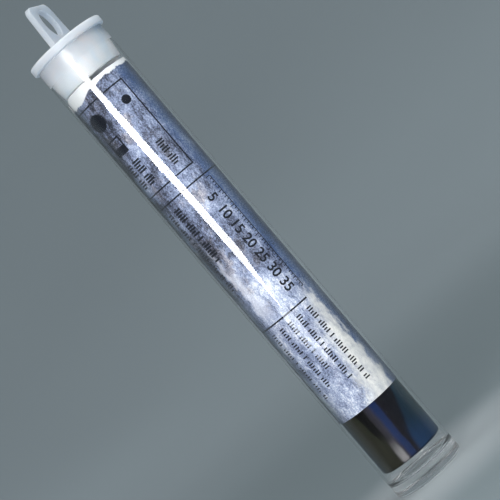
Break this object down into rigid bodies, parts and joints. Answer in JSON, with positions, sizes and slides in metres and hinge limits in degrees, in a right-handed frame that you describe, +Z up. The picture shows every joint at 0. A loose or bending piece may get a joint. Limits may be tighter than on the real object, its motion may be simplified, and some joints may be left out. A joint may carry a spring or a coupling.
{
  "type": "pigment stick",
  "caption": "Thick round stick of dark blue oil paint in a printed paper wrap, kept in a clear flat-based tube with a milky plug cap and hang loop.",
  "frame": {"origin": "centre of the tube's foot, on the surface that it stands on", "axes": "+Z up the tube to the hang loop, which lies along X; the hook passes through its eye along Y"},
  "size_m": [0.0236, 0.0236, 0.1635],
  "materials": {
    "clear_plastic": "gloss",
    "milky_plastic": "satin",
    "oil_paint": "satin",
    "printed_paper": "satin"
  },
  "bodies": {
    "tube": {"tube": "clear_plastic", "pigment_stick": "oil_paint", "paper_label": "printed_paper"},
    "cap": {"cap": "milky_plastic"}
  },
  "joints": [
    {"name": "cap_pull", "type": "slide", "parent": "tube", "child": "cap", "axis": [0, 0, 1], "range_m": [0, 0.02]}
  ]
}
